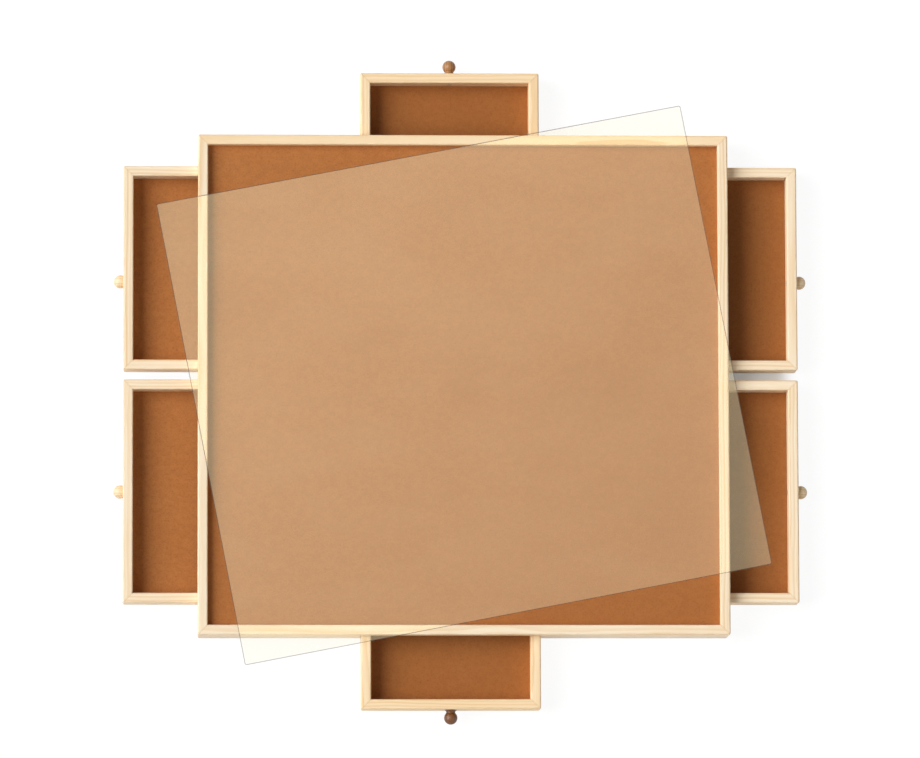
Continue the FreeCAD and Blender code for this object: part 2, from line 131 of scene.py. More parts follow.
class NodeDesk:
    """Places nodes in one tree and feeds their sockets."""

    def __init__(self, tree: bpy.types.NodeTree) -> None:
        """Keeps the tree that is worked on."""
        self.tree = tree

    def add(self, kind: str, inputs: Inputs | None = None, **settings: object) -> bpy.types.Node:
        """Adds one node.

        Args:
            kind: Blender's identifier of the node, without its ShaderNode prefix.
            inputs: What goes into each socket, by its name or place: another socket, or a value.
            settings: Attributes of the node itself.

        Returns:
            The new node.
        """
        node = self.tree.nodes.new("ShaderNode" + kind)
        for name, value in settings.items():
            setattr(node, name, value)
        for key, value in (inputs or {}).items():
            self.feed(node.inputs[key], value)
        return node

    def feed(self, socket: Socket, value: Source) -> None:
        """Links a socket to another one, or sets its value.

        Args:
            socket: The socket that is fed.
            value: Another socket, or a value.
        """
        if isinstance(value, bpy.types.NodeSocket):
            self.tree.links.new(value, socket)
        else:
            socket.default_value = value

    def math(self, operation: str, first: Source, second: Source = 0.0) -> Socket:
        """Adds a scalar sum and returns its result."""
        return self.add("Math", {0: first, 1: second}, operation=operation).outputs[0]

    def vector(self, operation: str, first: Source, second: Source = (0.0, 0.0, 0.0)) -> Socket:
        """Adds a vector sum and returns its result."""
        return self.add("VectorMath", {0: first, 1: second}, operation=operation).outputs["Vector"]

    def measure(self, operation: str, first: Source, second: Source = (0.0, 0.0, 0.0)) -> Socket:
        """Adds a vector sum whose result is a number."""
        return self.add("VectorMath", {0: first, 1: second}, operation=operation).outputs["Value"]

    def noise(self, point: Source, pitch: Triple, detail: float = 2.0, roughness: float = 0.5) -> Socket:
        """Adds a noise and returns its value, from 0 to 1.

        Args:
            point: Where the noise is read.
            pitch: How far apart its waves are along X, Y and Z, in the point's own unit.
            detail: How many finer waves are added.
            roughness: How much of them.

        Returns:
            The noise's value.
        """
        place = self.vector("DIVIDE", point, pitch)
        inputs = {"Vector": place, "Scale": 1.0, "Detail": detail, "Roughness": roughness}
        return self.add("TexNoise", inputs).outputs["Fac"]

    def ramp(self, value: Source, span: tuple[Source, Source], to: Pair = (0.0, 1.0)) -> Socket:
        """Maps a value smoothly from one span to another, and keeps it there.

        Args:
            value: What is mapped.
            span: Where the map starts and ends.
            to: What the value becomes there.

        Returns:
            The mapped value.
        """
        inputs = {"Value": value, "From Min": span[0], "From Max": span[1]}
        inputs.update({"To Min": to[0], "To Max": to[1]})
        return self.add("MapRange", inputs, interpolation_type="SMOOTHSTEP").outputs["Result"]

    def blend(self, share: Source, first: Source, second: Source) -> Socket:
        """Mixes two colours by a share from 0 to 1.

        Args:
            share: How much there is of the second colour.
            first: The first colour.
            second: The second colour.

        Returns:
            The mixed colour.
        """
        node = self.add("Mix", data_type="RGBA")
        self.feed(node.inputs["Factor"], share)
        self.feed(node.inputs["A"], first)
        self.feed(node.inputs["B"], second)
        return node.outputs["Result"]

    def seen(self) -> Socket:
        """Tells rays that show a thing, straight, mirrored or through glass, from rays that light it.

        Returns:
            1 for the rays that show it, and 0 for the others.
        """
        path = self.add("LightPath").outputs
        mirrored = self.math("MAXIMUM", path["Is Glossy Ray"], path["Is Transmission Ray"])
        return self.math("MAXIMUM", path["Is Camera Ray"], mirrored)


class Effect:
    """A shader node group that several finishes share, built once."""

    name: str = ""
    inputs: dict[str, str] = {}
    outputs: dict[str, str] = {}

    def wire(self, desk: NodeDesk, given: dict[str, Socket]) -> dict[str, Socket]:
        """Builds the inside of the group.

        Args:
            desk: The group's own node desk.
            given: The group's input sockets by name.

        Returns:
            What each output of the group shows, by name.
        """
        raise NotImplementedError

    def tree(self) -> bpy.types.NodeTree:
        """Returns the group's node tree, and builds it when it is first asked for.

        Returns:
            The one tree that all the materials share.
        """
        made = bpy.data.node_groups.get(self.name)
        if made:
            return made
        tree = bpy.data.node_groups.new(self.name, "ShaderNodeTree")
        for name, kind in self.inputs.items():
            tree.interface.new_socket(name, in_out="INPUT", socket_type="NodeSocket" + kind)
        for name, kind in self.outputs.items():
            tree.interface.new_socket(name, in_out="OUTPUT", socket_type="NodeSocket" + kind)
        entry = tree.nodes.new("NodeGroupInput")
        leave = tree.nodes.new("NodeGroupOutput")
        desk = NodeDesk(tree)
        for name, socket in self.wire(desk, {s.name: s for s in entry.outputs if s.name}).items():
            desk.feed(leave.inputs[name], socket)
        return tree

    def place(self, desk: NodeDesk, inputs: dict[str, Source]) -> dict[str, Socket]:
        """Puts the group into a material.

        Args:
            desk: The material's node desk.
            inputs: That material's own values.

        Returns:
            The group's outputs by name.
        """
        node = desk.tree.nodes.new("ShaderNodeGroup")
        node.node_tree = self.tree()
        for name, value in inputs.items():
            desk.feed(node.inputs[name], value)
        return {socket.name: socket for socket in node.outputs}


class WoodGrain(Effect):
    """Growth rings, fibres and resin flecks of a trunk along X, in millimetres from its heart."""

    name = "wood_grain"
    inputs = {"Point": "Vector", "Ring": "Float", "Pale": "Color", "Dark": "Color", "Contrast": "Float"}
    outputs = {"Color": "Color", "Roughness": "Float", "Height": "Float"}
    sway_pitch = (260.0, 60.0, 60.0)
    sway = 14.0
    late_wood = (0.2, 0.86)
    winter = (1.0, 0.9)
    weakest_year = 0.25
    fibre_pitch = (34.0, 0.9, 0.9)
    fibre_span = (0.42, 0.72)
    fibre_share = 0.3
    fleck_pitch = (20.0, 0.42, 0.42)
    fleck_span = (0.66, 0.78)
    fleck_share = 0.3
    cloud_pitch = (150.0, 24.0, 24.0)
    cloud_span = (0.36, 0.7)
    cloud_share = 0.3
    satin = (0.42, 0.56)
    heights = (0.4, 0.6, 0.5)

    def wire(self, desk: NodeDesk, given: dict[str, Socket]) -> dict[str, Socket]:
        """Builds rings that sway along the trunk, each year its own strength, and the fibres in them.

        Args:
            desk: The group's own node desk.
            given: The group's input sockets by name.

        Returns:
            What each output of the group shows, by name.
        """
        point = given["Point"]
        sway = desk.math("MULTIPLY", desk.noise(point, self.sway_pitch, detail=3.0), self.sway)
        radius = desk.measure("LENGTH", desk.vector("MULTIPLY", point, (0.0, 1.0, 1.0)))
        phase = desk.math("DIVIDE", desk.math("ADD", radius, sway), given["Ring"])
        year = desk.math("FRACT", phase)
        late = desk.math("MULTIPLY", desk.ramp(year, self.late_wood), desk.ramp(year, self.winter))
        season = desk.add("TexWhiteNoise", {"W": desk.math("FLOOR", phase)}, noise_dimensions="1D")
        strength = desk.ramp(season.outputs["Value"], (0.0, 1.0), (self.weakest_year, 1.0))
        fibre = desk.noise(point, self.fibre_pitch, detail=3.0, roughness=0.65)
        fleck = desk.ramp(desk.noise(point, self.fleck_pitch, detail=1.0), self.fleck_span)
        cloud = desk.noise(point, self.cloud_pitch)
        tone = desk.math("MULTIPLY", late, strength)
        tone = desk.math("ADD", tone, desk.ramp(fibre, self.fibre_span, (0.0, self.fibre_share)))
        tone = desk.math("ADD", tone, desk.ramp(cloud, self.cloud_span, (0.0, self.cloud_share)))
        tone = desk.math("ADD", tone, desk.math("MULTIPLY", fleck, self.fleck_share))
        share = desk.math("MULTIPLY", tone, given["Contrast"])
        share.node.use_clamp = True
        late_height, fibre_height, fleck_height = self.heights
        height = desk.math("MULTIPLY", late, late_height)
        height = desk.math("SUBTRACT", height, desk.math("MULTIPLY", fibre, fibre_height))
        return {
            "Color": desk.blend(share, given["Pale"], given["Dark"]),
            "Roughness": desk.ramp(fibre, NOISE_SPAN, self.satin),
            "Height": desk.math("SUBTRACT", height, desk.math("MULTIPLY", fleck, fleck_height)),
        }


class PressedFibre(Effect):
    """The mottle, speckle and hair-fine fibres of pressed hardboard. Points are in millimetres."""

    name = "pressed_fibre"
    inputs = {"Point": "Vector", "Base": "Color", "Pale": "Color", "Dark": "Color"}
    outputs = {"Color": "Color", "Roughness": "Float", "Height": "Float"}
    cloud_pitch = (110.0, 90.0, 90.0)
    cloud_light_span = (0.42, 0.75)
    cloud_light = 0.2
    cloud_shade_span = (0.5, 0.25)
    cloud_shade = 0.12
    mottle_pitch = (8.0, 7.0, 7.0)
    mottle_span = (0.35, 0.65)
    mottle_shade = 0.2
    speck_pitch = (2.6, 2.6, 2.6)
    speck_span = (0.45, 0.75)
    speck_shade = 0.45
    hair_length = 9.0
    hair_width = 0.6
    hair_span = (0.6, 0.76)
    hair_light = 0.3
    hair_height = 0.5
    matt = (0.5, 0.66)

    def wire(self, desk: NodeDesk, given: dict[str, Socket]) -> dict[str, Socket]:
        """Builds broad clouds, a finer mottle, small specks and fibres that lie two ways.

        Args:
            desk: The group's own node desk.
            given: The group's input sockets by name.

        Returns:
            What each output of the group shows, by name.
        """
        point = given["Point"]
        long, thin = self.hair_length, self.hair_width
        cloud = desk.noise(point, self.cloud_pitch, detail=4.0, roughness=0.6)
        mottle = desk.noise(point, self.mottle_pitch, detail=3.0, roughness=0.6)
        speck = desk.noise(point, self.speck_pitch, detail=3.0, roughness=0.6)
        hair_x = desk.ramp(desk.noise(point, (long, thin, thin)), self.hair_span)
        hair_y = desk.ramp(desk.noise(point, (thin, long, thin)), self.hair_span)
        hairs = desk.math("MAXIMUM", hair_x, hair_y)
        light = desk.ramp(cloud, self.cloud_light_span, (0.0, self.cloud_light))
        light = desk.math("ADD", light, desk.math("MULTIPLY", hairs, self.hair_light))
        colour = desk.blend(light, given["Base"], given["Pale"])
        shade = desk.ramp(speck, self.speck_span, (0.0, self.speck_shade))
        shade = desk.math("ADD", shade, desk.ramp(mottle, self.mottle_span, (0.0, self.mottle_shade)))
        shade = desk.math("ADD", shade, desk.ramp(cloud, self.cloud_shade_span, (0.0, self.cloud_shade)))
        return {
            "Color": desk.blend(shade, colour, given["Dark"]),
            "Roughness": desk.ramp(speck, NOISE_SPAN, self.matt),
            "Height": desk.math("ADD", speck, desk.math("MULTIPLY", hairs, self.hair_height)),
        }


class ScreenBack(Effect):
    """The woven imprint of the press screen on the back of hardboard. Points are in millimetres."""

    name = "screen_back"
    inputs = {"Point": "Vector", "Normal": "Vector"}
    outputs = {"Mask": "Float", "Height": "Float"}
    mesh_pitch = 2.4
    down = (-0.2, -0.6)

    def wire(self, desk: NodeDesk, given: dict[str, Socket]) -> dict[str, Socket]:
        """Builds two crossing waves, on faces that look down only.

        Args:
            desk: The group's own node desk.
            given: The group's input sockets by name.

        Returns:
            What each output of the group shows, by name.
        """
        turns = desk.vector("MULTIPLY", given["Point"], (2 * math.pi / self.mesh_pitch,) * 3)
        waves = desk.add("SeparateXYZ", {0: desk.vector("SINE", turns)}).outputs
        facing = desk.add("SeparateXYZ", {0: given["Normal"]}).outputs["Z"]
        mask = desk.ramp(facing, self.down)
        weave = desk.math("MULTIPLY", waves["X"], waves["Y"])
        return {"Mask": mask, "Height": desk.math("MULTIPLY", weave, mask)}


class EdgeWearAndShade(Effect):
    """How near a point of a boxy piece is to one of its long edges, where hands and sandpaper reach. The
    band it marks is darkened both as wear and as painted shade of the rounded edge.
    """

    name = "edge_wear_and_shade"
    inputs = {"Point": "Vector", "Centre": "Vector", "Half": "Vector", "Width": "Float"}
    outputs = {"Mask": "Float"}
    patch_pitch = (20.0, 20.0, 20.0)
    patch_widths = (0.4, 1.4)

    def wire(self, desk: NodeDesk, given: dict[str, Socket]) -> dict[str, Socket]:
        """Takes the middle one of the three depths below the box's faces, broken up by noise.

        Args:
            desk: The group's own node desk.
            given: The group's input sockets by name.

        Returns:
            What each output of the group shows, by name.
        """
        offset = desk.vector("ABSOLUTE", desk.vector("SUBTRACT", given["Point"], given["Centre"]))
        x, y, z = desk.add("SeparateXYZ", {0: desk.vector("SUBTRACT", given["Half"], offset)}).outputs
        high = desk.math("MAXIMUM", x, y)
        middle = desk.math("MAXIMUM", desk.math("MINIMUM", x, y), desk.math("MINIMUM", high, z))
        patch = desk.noise(given["Point"], self.patch_pitch, detail=4.0)
        reach = desk.math("MULTIPLY", given["Width"], desk.ramp(patch, NOISE_SPAN, self.patch_widths))
        near = desk.math("SUBTRACT", 1.0, desk.math("DIVIDE", middle, reach))
        near.node.use_clamp = True
        return {"Mask": near}


class MitreLine(Effect):
    """The fine line where a wall meets its neighbours at 45 degrees. Points are in millimetres."""

    name = "mitre_line"
    inputs = {
        "Point": "Vector",
        "Centre": "Vector",
        "Half": "Vector",
        "Along": "Vector",
        "Outward": "Vector",
        "Width": "Float",
    }
    outputs = {"Mask": "Float"}

    def wire(self, desk: NodeDesk, given: dict[str, Socket]) -> dict[str, Socket]:
        """Compares what is left to the wall's end with the depth below its outer face.

        Args:
            desk: The group's own node desk.
            given: The group's input sockets by name.

        Returns:
            What each output of the group shows, by name.
        """
        offset = desk.vector("SUBTRACT", given["Point"], given["Centre"])
        half_length = desk.measure("DOT_PRODUCT", given["Half"], given["Along"])
        half_thick = desk.math("ABSOLUTE", desk.measure("DOT_PRODUCT", given["Half"], given["Outward"]))
        along = desk.math("ABSOLUTE", desk.measure("DOT_PRODUCT", offset, given["Along"]))
        outward = desk.measure("DOT_PRODUCT", offset, given["Outward"])
        left = desk.math("SUBTRACT", half_length, along)
        depth = desk.math("SUBTRACT", half_thick, outward)
        gap = desk.math("ABSOLUTE", desk.math("SUBTRACT", left, depth))
        return {"Mask": desk.ramp(gap, (0.0, given["Width"]), (1.0, 0.0))}


def millimetres(desk: NodeDesk, turn: Triple = (0.0, 0.0, 0.0), shift: Triple = (0.0, 0.0, 0.0)) -> Socket:
    """Gives a material the place of each point on its own piece, in millimetres.

    Args:
        desk: The material's node desk.
        turn: The rotation that lays the grain along X.
        shift: What is added afterwards, in millimetres, so that no two pieces look alike.

    Returns:
        The socket of the turned and shifted point.
    """
    place = desk.add("TexCoord").outputs["Object"]
    inputs = {"Vector": place, "Location": shift, "Rotation": turn, "Scale": (1 / MM, 1 / MM, 1 / MM)}
    return desk.add("Mapping", inputs, vector_type="POINT").outputs[0]


def new_material(name: str) -> tuple[bpy.types.Material, NodeDesk, bpy.types.Node]:
    """Makes a material that holds one Principled shader.

    Args:
        name: The material's name.

    Returns:
        The material, its node desk and the shader.
    """
    material = bpy.data.materials.new(name)
    material.use_nodes = True
    material.node_tree.nodes.clear()
    desk = NodeDesk(material.node_tree)
    shader = desk.add("BsdfPrincipled")
    desk.add("OutputMaterial", {"Surface": shader.outputs[0]})
    return material, desk, shader


def roughen(desk: NodeDesk, shader: bpy.types.Node, height: Socket, depth: float) -> None:
    """Lets a height change the shader's normal.

    Args:
        desk: The material's node desk.
        shader: The shader that is bumped.
        height: The height, about from 0 to 1.
        depth: What a height of 1 stands for, in metres.
    """
    bump = desk.add("Bump", {"Height": height, "Distance": depth, "Strength": 1.0})
    desk.feed(shader.inputs["Normal"], bump.outputs["Normal"])


@dataclass(frozen=True)
class PineFinish:
    """Pale pine under a thin satin lacquer, a little darker along its edges, as wear and as painted shade
    of the rounded edges, and in its joints.
    """

    grain: Grain
    seed: int
    tone: PineTone = PineTone.PALE
    worn_and_shaded: str = "#E6BA80"
    joint: str = "#B98A52"
    ring: float = 4.6
    contrast: float = 0.56
    edge_width: float = 2.4
    edge_share: float = 0.4
    joint_width: float = 0.5
    joint_share: float = 0.45
    gloss: float = 0.35
    bump_depth: float = 0.1 * MM
    heart_near: float = 26.0
    heart_step: float = 9.0
    heart_places: int = 6
    trunk_step: float = 173.0
    turn_step: float = math.radians(137.5)

    def heart(self) -> Vector:
        """Sets each board at its own place in the trunk, 26 to 71 mm from its heart.

        Returns:
            The board's middle, seen from the heart, in millimetres.
        """
        angle = self.turn_step * self.seed
        radius = self.heart_near + self.heart_step * (self.seed % self.heart_places)
        return Vector((self.trunk_step * self.seed, radius * math.cos(angle), radius * math.sin(angle)))

    def make(self, node: str, outward: Vector | None = None) -> bpy.types.Material:
        """Makes the material of one board.

        Args:
            node: The board's name.
            outward: Where its outer face looks, on a board with mitred ends.

        Returns:
            The finished material.
        """
        material, desk, shader = new_material(f"pine_{node}")
        low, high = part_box(node)
        middle, half = (low + high) / 2, (high - low) / 2
        turned = Euler(self.grain.turn).to_matrix() @ middle
        pale, dark = self.tone.value
        wood = WoodGrain().place(
            desk,
            {
                "Point": millimetres(desk, self.grain.turn, tuple(self.heart() - turned / MM)),
                "Ring": self.ring,
                "Pale": linear(pale),
                "Dark": linear(dark),
                "Contrast": self.contrast,
            },
        )
        block = {"Point": millimetres(desk), "Centre": tuple(middle / MM), "Half": tuple(half / MM)}
        edge = EdgeWearAndShade().place(desk, {**block, "Width": self.edge_width})
        # The edge band darkens the wood partly as wear and partly as painted shade of the rounded edges.
        share = desk.math("MULTIPLY", edge["Mask"], self.edge_share)
        colour = desk.blend(share, wood["Color"], linear(self.worn_and_shaded))
        if outward:
            ways = {"Along": tuple(self.grain.along), "Outward": tuple(outward), "Width": self.joint_width}
            line = MitreLine().place(desk, {**block, **ways})
            share = desk.math("MULTIPLY", line["Mask"], self.joint_share)
            colour = desk.blend(share, colour, linear(self.joint))
        desk.feed(shader.inputs["Base Color"], colour)
        desk.feed(shader.inputs["Roughness"], wood["Roughness"])
        shader.inputs["Specular IOR Level"].default_value = self.gloss
        roughen(desk, shader, wood["Height"], self.bump_depth)
        return material


@dataclass(frozen=True)
class HardboardFinish:
    """Smooth brown hardboard, matt on its face and printed by the press screen on its back.

    A drift darkens the sheet towards its front right corner.
    """

    seed: int
    tone: BoardTone
    back: str = "#8F5F38"
    drift: float = 0.0
    drift_way: Triple = (1.0, -1.0, 0.0)
    drift_span: Pair = (-500.0, 700.0)
    gloss: float = 0.15
    screen_height: float = 4.8
    bump_depth: float = 0.02 * MM
    sheet_step: Pair = (311.0, 127.0)

    def make(self, node: str) -> bpy.types.Material:
        """Makes the material of the panel or of one floor.

        Args:
            node: The sheet's name.

        Returns:
            The finished material.
        """
        material, desk, shader = new_material(f"hardboard_{node}")
        shift = (self.sheet_step[0] * self.seed, self.sheet_step[1] * self.seed, 0.0)
        point = millimetres(desk, shift=shift)
        base, pale, dark = (linear(colour) for colour in self.tone.value)
        board = PressedFibre().place(desk, {"Point": point, "Base": base, "Pale": pale, "Dark": dark})
        across = desk.measure("DOT_PRODUCT", millimetres(desk), self.drift_way)
        share = desk.ramp(across, self.drift_span, (0.0, self.drift))
        face = desk.blend(share, board["Color"], dark)
        facing = desk.add("TexCoord").outputs["Normal"]
        screen = ScreenBack().place(desk, {"Point": point, "Normal": facing})
        desk.feed(shader.inputs["Base Color"], desk.blend(screen["Mask"], face, linear(self.back)))
        desk.feed(shader.inputs["Roughness"], board["Roughness"])
        shader.inputs["Specular IOR Level"].default_value = self.gloss
        imprint = desk.math("MULTIPLY", screen["Height"], self.screen_height)
        roughen(desk, shader, desk.math("ADD", board["Height"], imprint), self.bump_depth)
        return material


@dataclass(frozen=True)
class KnobFinish:
    """Turned beech, stained and oiled, with the grain and fine turning marks along the knob's own axis."""

    # The tone is partly painted light and shade: paler on the side knobs, darker on the front one.
    tone: KnobTone
    grain: Grain
    seed: int
    ring: float = 3.4
    contrast: float = 0.6
    coat: float = 0.18
    coat_roughness: float = 0.25
    mark_pitch: Triple = (0.5, 400.0, 400.0)
    mark_height: float = 0.8
    bump_depth: float = 0.05 * MM
    trunk_step: float = 61.0
    heart: Pair = (9.0, -6.0)

    def make(self, node: str) -> bpy.types.Material:
        """Makes the material of one knob.

        Args:
            node: The knob's name.

        Returns:
            The finished material.
        """
        material, desk, shader = new_material(f"beech_{node}")
        low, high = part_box(node)
        turned = Euler(self.grain.turn).to_matrix() @ ((low + high) / 2)
        heart = Vector((self.trunk_step * self.seed, *self.heart))
        point = millimetres(desk, self.grain.turn, tuple(heart - turned / MM))
        pale, dark = self.tone.value
        colours = {"Pale": linear(pale), "Dark": linear(dark)}
        wood = WoodGrain().place(
            desk, {"Point": point, "Ring": self.ring, "Contrast": self.contrast, **colours}
        )
        marks = desk.math("MULTIPLY", desk.noise(point, self.mark_pitch), self.mark_height)
        desk.feed(shader.inputs["Base Color"], wood["Color"])
        desk.feed(shader.inputs["Roughness"], wood["Roughness"])
        shader.inputs["Coat Weight"].default_value = self.coat
        shader.inputs["Coat Roughness"].default_value = self.coat_roughness
        roughen(desk, shader, desk.math("ADD", wood["Height"], marks), self.bump_depth)
        return material


@dataclass(frozen=True)
class ZincFinish:
    """Zinc-plated steel, a little blotched."""

    bright: str = "#C9C7C2"
    dull: str = "#8F8C86"
    blotch_pitch: Triple = (1.1, 1.1, 1.1)
    blotch_span: Pair = (0.4, 0.7)
    roughness: Pair = (0.25, 0.45)

    def make(self) -> bpy.types.Material:
        """Makes the one material of all the screws.

        Returns:
            The finished material.
        """
        material, desk, shader = new_material("zinc_screw")
        blotch = desk.noise(millimetres(desk), self.blotch_pitch, detail=4.0)
        share = desk.ramp(blotch, self.blotch_span)
        desk.feed(shader.inputs["Base Color"], desk.blend(share, linear(self.bright), linear(self.dull)))
        desk.feed(shader.inputs["Roughness"], desk.ramp(blotch, NOISE_SPAN, self.roughness))
        shader.inputs["Metallic"].default_value = 1.0
        return material


@dataclass(frozen=True)
class ClearFinish:
    """Clear plastic sheet: a thin film of haze with faint smears, which casts no shadow.

    The haze thins out towards the sheet's front right corner. It has no gloss of its own, which so thin
    a film turns to grain at low angles.
    """

    name: str
    tint: str
    haze: float
    roughness: float = 0.15
    gloss: float = 0.0
    smear_pitch: Triple = (170.0, 70.0, 100.0)
    smear_shares: Pair = (0.94, 1.06)
    thin_way: Triple = (1.0, -1.0, 0.0)
    thin_span: Pair = (-600.0, 600.0)
    thin_shares: Pair = (1.28, 0.96)

    def make(self) -> bpy.types.Material:
        """Makes the material of the sheet's faces or of its edge.

        Returns:
            The finished material.
        """
        material, desk, shader = new_material(self.name)
        smear = desk.noise(millimetres(desk), self.smear_pitch, detail=4.0)
        smeared = desk.ramp(smear, NOISE_SPAN, tuple(share * self.haze for share in self.smear_shares))
        across = desk.measure("DOT_PRODUCT", millimetres(desk), self.thin_way)
        film = desk.math("MULTIPLY", smeared, desk.ramp(across, self.thin_span, self.thin_shares))
        lit = desk.math("SUBTRACT", 1.0, desk.add("LightPath").outputs["Is Shadow Ray"])
        shader.inputs["Base Color"].default_value = linear(self.tint)
        shader.inputs["Roughness"].default_value = self.roughness
        shader.inputs["Specular IOR Level"].default_value = self.gloss
        desk.feed(shader.inputs["Alpha"], desk.math("MULTIPLY", film, lit))
        return material


def dress(node: str, material: bpy.types.Material) -> None:
    """Gives a solid its finish.

    Args:
        node: The solid's name.
        material: Its finish.
    """
    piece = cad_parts[node]
    piece.data.materials.clear()
    piece.data.materials.append(material)
    LOG.info("dressed %s", node)


def new_piece(name: str, mesh: Mesh, body: str, node: str) -> bpy.types.Object:
    """Turns a mesh into a piece that stands for a solid.

    Args:
        name: The piece's name.
        mesh: Its mesh, which is freed.
        body: The body that carries it.
        node: The solid that it stands for.

    Returns:
        The piece's object.
    """
    data = bpy.data.meshes.new(name)
    mesh.to_mesh(data)
    mesh.free()
    piece = bpy.data.objects.new(name, data)
    bpy.context.scene.collection.objects.link(piece)
    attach(piece, body)
    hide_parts(node)
    LOG.info("built %s", name)
    return piece


def outward_of(node: str, inside: str, grain: Grain) -> Vector:
    """Finds where a wall's outer face looks.

    Args:
        node: The wall.
        inside: A piece in the middle of the frame that the wall belongs to.
        grain: The wall's own grain.

    Returns:
        The unit vector away from that middle, square to the grain.
    """
    wall, middle = (sum(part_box(name), Vector()) / 2 for name in (node, inside))
    across = grain.other.along
    return across * math.copysign(1.0, (wall - middle).dot(across))


@dataclass
class Case:
    """The rim's four rails, the work panel and what lies under it."""

    rails: dict[str, Grain] = field(
        default_factory=lambda: {
            "front_rail": Grain.ALONG_X,
            "rear_rail": Grain.ALONG_X,
            "left_rail": Grain.ALONG_Y,
            "right_rail": Grain.ALONG_Y,
        }
    )
    panel: str = "work_panel"
    bearers: dict[str, Grain] = field(
        default_factory=lambda: {
            **{
                f"{side}_{place}_runner": Grain.ALONG_X
                for side in ("left", "right")
                for place in ("rear", "middle", "front")
            },
            "left_end_runner": Grain.ALONG_Y,
            "right_end_runner": Grain.ALONG_Y,
            "right_stop_rail": Grain.ALONG_Y,
            "front_drawer_stop": Grain.ALONG_X,
            "rear_drawer_stop": Grain.ALONG_X,
            "centre_bearer": Grain.ALONG_Y,
        }
    )
    honey_rail: str = "rear_rail"
    first_bearer_seed: int = 41
    bare_contrast: float = 0.8
    panel_drift: float = 0.33

    def dress(self) -> None:
        """Gives the rails lacquered pine, the panel hardboard and the bearers bare pine."""
        for seed, (node, grain) in enumerate(self.rails.items(), start=1):
            tone = PineTone.HONEY if node == self.honey_rail else PineTone.PALE
            dress(node, PineFinish(grain, seed, tone).make(node, outward_of(node, self.panel, grain)))
        sheet = HardboardFinish(1, BoardTone.LIGHT, drift=self.panel_drift)
        dress(self.panel, sheet.make(self.panel))
        for seed, (node, grain) in enumerate(self.bearers.items(), start=self.first_bearer_seed):
            dress(node, PineFinish(grain, seed, PineTone.BARE, contrast=self.bare_contrast).make(node))


@dataclass
class KnobScrew:
    """The countersunk wood screw that goes through a drawer's front into its knob."""

    node: str
    drawer: str
    outward: Vector
    shank_radius: float = 1.8 * MM
    core_radius: float = 1.25 * MM
    head_depth: float = 2.2 * MM
    head_land: float = 0.25 * MM
    thread_start: float = 8.0 * MM
    thread_pitch: float = 1.4 * MM
    tip_length: float = 2.5 * MM
    slot_reach: Pair = (2.0 * MM, 0.9 * MM)
    slot_half: Pair = (0.5 * MM, 0.3 * MM)
    slot_depth: float = 1.5 * MM
    around: int = 24
    steps_per_turn: int = 8
    sharp_from: float = math.radians(35)

    def radius(self, depth: float, turn: float, head: float, length: float) -> float:
        """Works out the screw's radius.

        Args:
            depth: How far below the head's face.
            turn: How far round, as a share of a full turn.
            head: The head's radius.
            length: The screw's whole length.

        Returns:
            The radius there.
        """
        if depth <= self.head_land:
            return head
        if depth < self.head_depth:
            share = (depth - self.head_land) / (self.head_depth - self.head_land)
            return head + share * (self.shank_radius - head)
        if depth < self.thread_start:
            return self.shank_radius
        ridge = abs(2 * ((depth / self.thread_pitch - turn) % 1.0) - 1)
        radius = self.core_radius + (self.shank_radius - self.core_radius) * max(0.0, 2 * ridge - 1)
        return radius * min(1.0, (length - depth) / self.tip_length)

    def stations(self, length: float) -> list[float]:
        """Lists the depths of the screw's rings, close together along the thread.

        Args:
            length: The screw's whole length.

        Returns:
            The depths below the head's face.
        """
        step = self.thread_pitch / self.steps_per_turn
        count = int((length - self.thread_start) / step)
        thread = [self.thread_start + step * i for i in range(count)]
        return [0.0, self.head_land, self.head_depth, *thread]

    def cross(self, mesh: Mesh, level: int) -> list[bmesh.types.BMVert]:
        """Walks once round the cross recess, at the head's face (level 0) or on its floor (level 1).

        Args:
            mesh: The screw's mesh, which gets the points.
            level: 0 or 1.

        Returns:
            The walk's points.
        """
        reach, half = self.slot_reach[level], self.slot_half[level]
        arm = [(reach, -half), (reach, half), (half, half)]
        points = []
        for quarter in range(4):
            turn = Matrix.Rotation(quarter * math.pi / 2, 2)
            points += [turn @ Vector(point) for point in arm]
        return [mesh.verts.new((point.x, point.y, level * self.slot_depth)) for point in points]

    def build(self, zinc: bpy.types.Material) -> None:
        """Builds the screw as rings from its head to its tip, with the recess sunk into the head.

        Args:
            zinc: The screw's finish.
        """
        low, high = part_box(self.node)
        size = high - low
        length = abs(size.dot(self.outward))
        head = size.z / 2
        mesh = bmesh.new()
        rings = []
        for depth in self.stations(length):
            ring = []
            for i in range(self.around):
                turn = i / self.around
                radius = self.radius(depth, turn, head, length)
                angle = 2 * math.pi * turn
                ring.append(mesh.verts.new((radius * math.cos(angle), radius * math.sin(angle), depth)))
            rings.append(ring)
        rings += [[mesh.verts.new((0.0, 0.0, length))] * self.around]
        face_edge, floor_edge = self.cross(mesh, 0), self.cross(mesh, 1)
        for upper, lower in [*zip(rings, rings[1:]), (face_edge, floor_edge)]:
            for i in range(len(upper)):
                j = (i + 1) % len(upper)
                corners = dict.fromkeys((upper[i], upper[j], lower[j], lower[i]))
                mesh.faces.new(tuple(corners))
        mesh.faces.new(floor_edge)
        loops = (rings[0], face_edge)
        rims = [mesh.edges.get((loop[i - 1], loop[i])) for loop in loops for i in range(len(loop))]
        bmesh.ops.triangle_fill(mesh, use_beauty=True, edges=rims)
        bmesh.ops.recalc_face_normals(mesh, faces=mesh.faces)
        middle = (low + high) / 2
        start = Matrix.Translation(middle - self.outward * length / 2)
        mesh.transform(start @ self.outward.to_track_quat("Z", "Y").to_matrix().to_4x4())
        screw = new_piece(f"{self.drawer}_wood_screw", mesh, self.drawer, self.node)
        screw.data.shade_smooth()
        screw.data.set_sharp_from_angle(angle=self.sharp_from)
        screw.data.materials.append(zinc)


